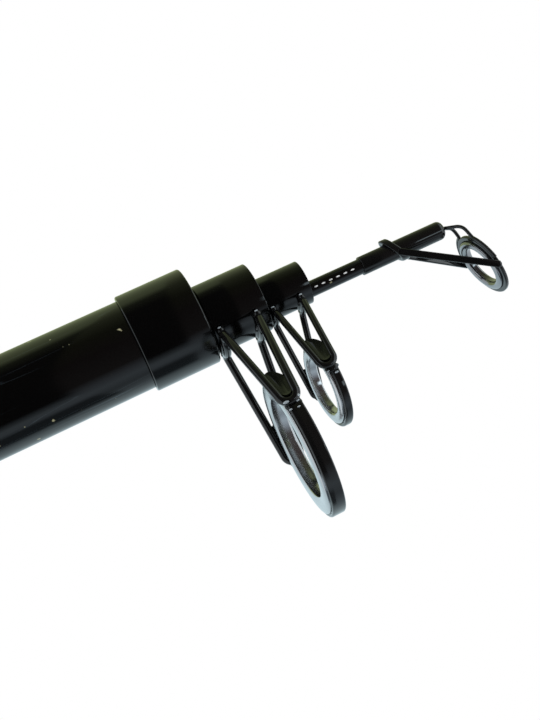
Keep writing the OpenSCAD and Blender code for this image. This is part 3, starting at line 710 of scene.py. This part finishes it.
insert = {"back": -1.6, "front": 1.1, "backRound": 0.6, "frontRound": 0.4, "wallBack": -0.5, "wallFront": 0.4}
flangeHole, hole = top["ringRadius"] - top["flangeWidth"], top["holeRadius"]
crest = (flangeHole + hole) / 2
backX, frontX = insert["back"] + insert["backRound"], insert["front"] - insert["frontRound"]
outline = [(frontX, flangeHole), (backX, flangeHole)]
outline += quarter(backX, crest, -insert["backRound"], flangeHole - crest, 90, 0)[1:]
outline += quarter(insert["wallBack"], crest, insert["back"] - insert["wallBack"], hole - crest, 0, 90)[1:]
outline += quarter(insert["wallFront"], crest, insert["front"] - insert["wallFront"], hole - crest, 90, 0)
outline += quarter(frontX, crest, insert["frontRound"], flangeHole - crest, 0, 90)[1:]
tipInsert = turned("tipInsert", outline, 224)
setDown(smooth(tipInsert, 50), topRing)
finishPiece(tipInsert, "tip", ringDark, "ring_ceramic", "tip_insert")
print("tip top made")


# handle: grips, checks, reel seat, butt plug

handle = {"gripRadius": 17.85, "gripFront": 105, "seatX": 110, "seatRadius": 14.5, "seatEnd": 238,
          "foreRadius": 15.9, "foreEnd": 328}


def buttAt(x):
    taper = (butt["rearRadius"] - butt["mouthRadius"]) / (rod["mouthX"] - rod["rearX"])
    return butt["mouthRadius"] + (rod["mouthX"] - x) * taper


# piece pushed over the butt, drawn by its outer line
def onButt(name, line, segments, soft, finish, slot, node):
    first, last = [(x, buttAt(x)) for x in (line[0][0], line[-1][0])]
    obj = turned(name, [first, *line, last, first], segments)
    softenEdges(obj, soft, 3, 25)
    smooth(obj, 50)
    return finishPiece(obj, "butt", finish, slot, node)


def grooved(x, radius, wide=1.6, deep=0.5):
    floorHalf = wide * 0.4
    return [(x - wide, radius), (x - floorHalf, radius - deep), (x + floorHalf, radius - deep),
            (x + wide, radius)]


rearX, frontX, gripR = rod["rearX"], handle["gripFront"], handle["gripRadius"]
onButt("rearGrip", [(rearX, gripR - 0.9), (rearX + 3, gripR), *grooved(rearX + 13, gripR), (-40, gripR),
                    (20, gripR - 0.7), (70, gripR - 0.5), *grooved(frontX - 13, gripR - 0.4),
                    (frontX - 3, gripR - 0.3), (frontX, gripR - 0.8)],
       128, 0.5, gripFoam, "grip_foam", "rear_grip")
rearX, frontX, gripR = handle["seatEnd"], handle["foreEnd"], handle["foreRadius"]
onButt("foreGrip", [(rearX, gripR - 1.2), (rearX + 2, gripR - 0.9), (rearX + 24, gripR - 0.4),
                    *grooved(rearX + 32, gripR - 0.4, 1.4, 0.4), (rearX + 62, gripR),
                    *grooved(frontX - 10, gripR, 1.4, 0.4), (frontX - 2, gripR), (frontX, gripR - 0.5)],
       128, 0.5, gripFoam, "grip_foam", "fore_grip")

rearCheckLine = [(0, 17.3), (1, 17.85), (2, 17.85), (2.4, 17.2), (3, 17.2), (3.4, 16.6), (5, 14.6)]
foreCheckLine = [(0, 15.5), (1, 15.94), (1.8, 15.6), (2.2, 15.0), (2.8, 15.0), (3.2, 14.9), (5, 13.7)]
onButt("rearCheck", [(handle["gripFront"] + x, radius) for x, radius in rearCheckLine],
       160, 0.25, checkMetal, "check_metal", "rear_check")
onButt("foreCheck", [(handle["foreEnd"] + x, radius) for x, radius in foreCheckLine],
       160, 0.25, checkMetal, "check_metal", "fore_check")

# thread drawn as rings, with one root and one crest in each pitch
thread = {"x": 180, "pitch": 2.0, "depth": 0.7, "runOut": 2, "root": (0.35, 0.75), "crest": (1.25, 1.65),
          "crestSink": 0.08}
keyWay = {"low": (154, -1.5, -1), "high": (240, 1.5, 2)}
seatX, seatEnd, seatR = handle["seatX"], handle["seatEnd"], handle["seatRadius"]
profile = [(seatX, buttAt(seatX)), (seatX, seatR), (thread["x"], seatR)]
for k in range(int((seatEnd - thread["x"] - thread["runOut"]) / thread["pitch"])):
    toothX = thread["x"] + k * thread["pitch"]
    profile += [(toothX + x, seatR - thread["depth"]) for x in thread["root"]]
    profile += [(toothX + x, seatR - thread["crestSink"]) for x in thread["crest"]]
profile += [(seatEnd, seatR - thread["depth"]), (seatEnd, buttAt(seatEnd)), (seatX, buttAt(seatX))]
seatBarrel = turned("seatBarrel", profile, 128)
seatTop = Vector((0, 0, seatR))
cutWith(seatBarrel, block("keyWay", seatTop + Vector(keyWay["low"]), seatTop + Vector(keyWay["high"])))
smooth(seatBarrel, 35)
finishPiece(seatBarrel, "butt", seatPlastic, "seat_plastic", "seat_barrel")

hood = {"radius": 16.6, "length": 20, "fixedX": 112, "slideX": 178, "play": 0.3, "core": 1,
        "half": 10.5, "low": -20.5, "top": -12, "soft": 1.6,
        "wall": 3, "pocketHalf": 9, "pocketLow": -19, "pocketPast": 2, "pocketSoft": 0.8, "keyHalf": 1.2}


# hood with a pocket for one end of a reel foot; way is 1 where it opens to +X
def hoodShell(name, x, way, bore, body, node):
    length, r, core = hood["length"], hood["radius"], hood["core"]
    shell = turned(name, [(0, core), (0, r - 1.2), (0.35, r - 0.35), (1.2, r), (length - 0.6, r),
                          (length, r - 0.6), (length, core), (0, core)], 128)
    cutWith(shell, block("housing", (0, -hood["half"], hood["low"]), (length, hood["half"], hood["top"]),
                         hood["soft"]), "UNION")
    cutWith(shell, block("pocket", (hood["wall"], -hood["pocketHalf"], hood["pocketLow"]),
                         (length + hood["pocketPast"], hood["pocketHalf"], hood["top"]), hood["pocketSoft"]))
    cutWith(shell, turned("boreCutter", [(-1, 0), (-1, bore), (length + 1, bore), (length + 1, 0)], 128))
    if way < 0:
        key = block("key", (0, -hood["keyHalf"], bore - 1), (length, hood["keyHalf"], bore + 1))
        cutWith(shell, key, "UNION")
        for vertex in shell.data.vertices:
            vertex.co.x = length * mm - vertex.co.x
        shell.data.flip_normals()
    smooth(shell, 32)
    setDown(shell, slide(x))
    return finishPiece(shell, body, hoodPlastic, "hood_plastic", node)


hoodShell("fixedHood", hood["fixedX"], 1, seatR, "butt", "fixed_hood")
hoodShell("slidingHood", hood["slideX"], -1, seatR + hood["play"], "hood", "sliding_hood")


# ribs cut along X into the outer face of a turned piece
def ribbed(obj, count, deep, share, least):
    for vertex in obj.data.vertices:
        y, z = vertex.co.y, vertex.co.z
        radius = math.hypot(y, z)
        if radius < least * mm:
            continue
        turn = (math.atan2(z, y) / (2 * math.pi) * count) % 1 - 0.5
        dip = max(0, 1 - (turn / share) ** 2) * deep * mm
        vertex.co.y, vertex.co.z = y * (1 - dip / radius), z * (1 - dip / radius)


nut = {"x": 198.3, "bore": 14.8, "length": 14,
       "line": [(0, 17.0), (0.3, 17.6), (1.0, 18.0), (6, 17.7), (13.2, 17.3), (13.8, 16.9), (14, 16.3)],
       "ribs": {"count": 18, "deep": 1.0, "share": 0.27, "least": 16.9}}
lockNut = turned("lockNut", [(0, nut["bore"]), *nut["line"], (nut["length"], nut["bore"]),
                             (0, nut["bore"])], 360)
ribbed(lockNut, **nut["ribs"])
smooth(lockNut, 35)
setDown(lockNut, slide(nut["x"]))
finishPiece(lockNut, "nut", hoodPlastic, "hood_plastic", "lock_nut")

bush = {"bore": 9.5, "radius": 12.0, "length": 22, "soft": 0.3}
rearX, frontX = rod["rearX"], rod["rearX"] + bush["length"]
buttBush = turned("buttBush", [(rearX, bush["bore"]), (rearX, bush["radius"]), (frontX, bush["radius"]),
                               (frontX, bush["bore"]), (rearX, bush["bore"])], 96)
softenEdges(buttBush, bush["soft"])
smooth(buttBush)
finishPiece(buttBush, "butt", seatPlastic, "seat_plastic", "butt_bush")

plug = {"x": -105.1, "thick": 14, "radius": 17.45, "pinRadius": 9.4, "pinLength": 26,
        "ribs": {"count": 36, "deep": 0.35, "share": 0.3}, "ribSkin": 0.2}
capR, pinR, pinEnd, capX = plug["radius"], plug["pinRadius"], plug["pinLength"], -plug["thick"]
buttPlug = turned("buttPlug", [
    (capX, 0), (capX, capR - 3), (capX + 0.3, capR - 1.9), (capX + 1.4, capR - 0.7), (capX + 3, capR),
    (-2, capR), (-1.6, capR - 0.5), (-0.9, capR - 0.5), (-0.5, capR - 0.1), (0, capR - 0.5),
    (0, pinR), (pinEnd - 1, pinR), (pinEnd, pinR - 0.8), (pinEnd, 0)], 288)
ribbed(buttPlug, **plug["ribs"], least=capR - plug["ribSkin"])
smooth(buttPlug, 35)
setDown(buttPlug, slide(plug["x"]))
finishPiece(buttPlug, "plug", seatPlastic, "seat_plastic", "butt_plug")

# two shallow rings are sunk into the pad's face
padLine = [(0, 0), (0, 14.4), (-1.2, 14.3), (-2.4, 13.7), (-3, 12.4), (-3, 10.4), (-2.6, 10.0), (-2.6, 9.4),
           (-3, 9.0), (-3, 5.4), (-2.6, 5.0), (-2.6, 4.4), (-3, 4.0), (-3, 0)]
plugPad = turned("plugPad", padLine, 128)
smooth(plugPad, 35)
setDown(plugPad, slide(plug["x"] - plug["thick"]))
finishPiece(plugPad, "plug", padRubber, "rubber", "plug_pad")

rest = {"radius": 8.5, "length": 36.6, "soft": 0.8}
restX = plug["x"] + plug["pinLength"]
restPad = turned("restPad", [(restX, 0), (restX, rest["radius"]), (restX + rest["length"], rest["radius"]),
                             (restX + rest["length"], 0)], 96)
softenEdges(restPad, rest["soft"], 4, 25)
smooth(restPad)
finishPiece(restPad, "plug", padRubber, "rubber", "rest_pad")
print("handle made")


# studio in metres: floor, cards that only reflections see, lamp and world

studio = {"floorSize": 30, "floorAt": (0.5, 0, -0.16), "tentRadius": 0.7, "lampShare": 0.97, "cardCuts": 47}
clearSelection()
bpy.ops.mesh.primitive_plane_add(size=studio["floorSize"], location=studio["floorAt"])
floor = bpy.context.object
floor.name = "studioFloor"
floorPaint, tree, shader = newFinish("floorPaint", (0.9, 0.9, 0.9), 0.9)
ray = tree.nodes.new("ShaderNodeLightPath")
paper = tree.nodes.new("ShaderNodeEmission")
paper.inputs["Color"].default_value = (1, 1, 1, 1)
paperMix = tree.nodes.new("ShaderNodeMixShader")
tree.links.new(ray.outputs["Is Camera Ray"], paperMix.inputs["Fac"])
tree.links.new(shader.outputs["BSDF"], paperMix.inputs[1])
tree.links.new(paper.outputs["Emission"], paperMix.inputs[2])
tree.links.new(paperMix.outputs["Shader"], tree.nodes["Material Output"].inputs["Surface"])
floor.data.materials.append(floorPaint)
floorPaint.cycles.emission_sampling = "NONE"
floor.visible_glossy = False

# cards round the rod: run along X, then light by the angle in degrees from one side towards the floor
nearRun, midRun, rearRun, frontRun = (0.12, 0.8), (0.8, 1.22), (-2.8, 0.12), (1.22, 4.2)
pale, bright, cool, olive = (0.74, 0.92, 0.98), (0.9, 1.0, 1.05), (0.8, 0.88, 0.92), (0.44, 0.52, 0.28)
leaf, tipGlow, frontGlow = (0.5, 0.6, 0.35), (2.0, 2.4, 2.6), (2.2, 2.4, 2.5)
cards = [
    ("nearCard", nearRun, [(-180, olive), (-104, olive), (-90, (0.1, 0.115, 0.07)),
                           (-70, (0.03, 0.03, 0.028)), (40, (0.026, 0.025, 0.026)),
                           (50, (0.3, 0.36, 0.4)), (57, (0.56, 0.67, 0.74)), (66, (0.52, 0.62, 0.7)),
                           (76, (0.12, 0.15, 0.17)), (96, (0.1, 0.13, 0.15)), (106, (0.6, 0.75, 0.81)),
                           (118, pale), (180, pale)]),
    ("midCard", midRun, [(-180, (0.5, 0.58, 0.32)), (-120, (0.4, 0.46, 0.25)), (-95, (0.2, 0.23, 0.125)),
                         (-60, (0.08, 0.085, 0.05)), (-20, (0.075, 0.062, 0.06)), (30, (0.11, 0.1, 0.1)),
                         (48, (0.4, 0.46, 0.52)), (62, (0.55, 0.66, 0.74)), (80, (0.35, 0.42, 0.47)),
                         (104, (0.55, 0.68, 0.75)), (120, pale), (180, pale)]),
    ("rearCard", rearRun, [(-180, cool), (-100, cool), (-90, bright), (180, bright)]),
    ("frontCard", frontRun, [(-180, leaf), (-100, leaf), (-90, bright), (180, bright)]),
    ("tipLamp", (1.0, 1.22), [(6, tipGlow), (17, tipGlow)]),
    ("frontLamp", (1.5, 1.9), [(-75, frontGlow), (70, frontGlow)]),
]
nearWay, floorWay = Vector((0, -0.882, -0.4715)), Vector((0, 0.4715, -0.882))
for name, run, stops in cards:
    isLamp = "Lamp" in name
    reach = studio["tentRadius"] * (studio["lampShare"] if isLamp else 1)
    first, last = stops[0][0], stops[-1][0]
    clearSelection()
    bpy.ops.mesh.primitive_plane_add(size=1)
    card = bpy.context.object
    card.name = name
    bpy.ops.object.mode_set(mode="EDIT")
    bpy.ops.mesh.subdivide(number_cuts=studio["cardCuts"])
    bpy.ops.object.mode_set(mode="OBJECT")
    for vertex in card.data.vertices:
        angle = math.radians(first + (last - first) * (vertex.co.y + 0.5))
        along = run[0] + (run[1] - run[0]) * (vertex.co.x + 0.5)
        vertex.co = (nearWay * math.cos(angle) + floorWay * math.sin(angle)) * reach + Vector((along, 0, 0))
    glow = bpy.data.materials.new(name + "Light")
    glow.use_nodes = True
    tree = glow.node_tree
    tree.nodes.clear()
    emission = tree.nodes.new("ShaderNodeEmission")
    place = tree.nodes.new("ShaderNodeTexCoord")
    split = tree.nodes.new("ShaderNodeSeparateXYZ")
    tree.links.new(place.outputs["UV"], split.inputs["Vector"])
    tone = ramp(tree, split.outputs["Y"],
                [((angle - first) / (last - first), colour) for angle, colour in stops])
    tree.links.new(tone.outputs["Color"], emission.inputs["Color"])
    cardOut = tree.nodes.new("ShaderNodeOutputMaterial")
    tree.links.new(emission.outputs["Emission"], cardOut.inputs["Surface"])
    card.data.materials.append(glow)
    glow.cycles.emission_sampling = "AUTO" if isLamp else "NONE"
    card.visible_camera = card.visible_diffuse = card.visible_shadow = False
    card.visible_transmission = card.visible_volume_scatter = False

softLamp = {"place": (0.35, -0.5, 0.75), "aim": (0.72, 0, -0.02), "size": 0.9, "energy": 9}
clearSelection()
bpy.ops.object.light_add(type="AREA", location=softLamp["place"])
lamp = bpy.context.object
lamp.name = "softLamp"
lamp.data.size = softLamp["size"]
lamp.data.energy = softLamp["energy"]
lamp.rotation_euler = (Vector(softLamp["aim"]) - lamp.location).to_track_quat("-Z", "Y").to_euler()
lamp.visible_glossy = False

# white to the camera and in reflections, a softer sky for all other light
world = bpy.data.worlds.new("studioWorld")
bpy.context.scene.world = world
world.use_nodes = True
tree = world.node_tree
tree.nodes.clear()
ray = tree.nodes.new("ShaderNodeLightPath")
seen = tree.nodes.new("ShaderNodeMath")
seen.operation = "MAXIMUM"
seenAll = tree.nodes.new("ShaderNodeMath")
seenAll.operation = "MAXIMUM"
white = tree.nodes.new("ShaderNodeBackground")
white.inputs["Color"].default_value = (1, 1, 1, 1)
sky = tree.nodes.new("ShaderNodeBackground")
sky.inputs["Color"].default_value = (0.9, 0.95, 1, 1)
sky.inputs["Strength"].default_value = 0.55
blend = tree.nodes.new("ShaderNodeMixShader")
worldOut = tree.nodes.new("ShaderNodeOutputWorld")
tree.links.new(ray.outputs["Is Camera Ray"], seen.inputs[0])
tree.links.new(ray.outputs["Is Glossy Ray"], seen.inputs[1])
tree.links.new(seen.outputs["Value"], seenAll.inputs[0])
tree.links.new(ray.outputs["Is Transmission Ray"], seenAll.inputs[1])
tree.links.new(seenAll.outputs["Value"], blend.inputs["Fac"])
tree.links.new(sky.outputs["Background"], blend.inputs[1])
tree.links.new(white.outputs["Background"], blend.inputs[2])
tree.links.new(blend.outputs["Shader"], worldOut.inputs["Surface"])

view = {"place": (0.687886, -0.206094, -0.110390), "ahead": (0.165993, 0.903725, 0.394624),
        "up": (0.425211, -0.426657, 0.798223), "lens": 44.34, "sensor": 36, "clip": 0.01}
ahead, up = Vector(view["ahead"]).normalized(), Vector(view["up"]).normalized()
right = ahead.cross(up)
bpy.ops.object.camera_add()
camera = bpy.context.object
camera.matrix_world = Matrix.Translation(view["place"]) @ Matrix((right, up, -ahead)).transposed().to_4x4()
camera.data.lens = view["lens"]
camera.data.sensor_width = view["sensor"]
camera.data.clip_start = view["clip"]
bpy.context.scene.camera = camera
bpy.context.scene.view_settings.view_transform = "Standard"
print("studio and camera set")
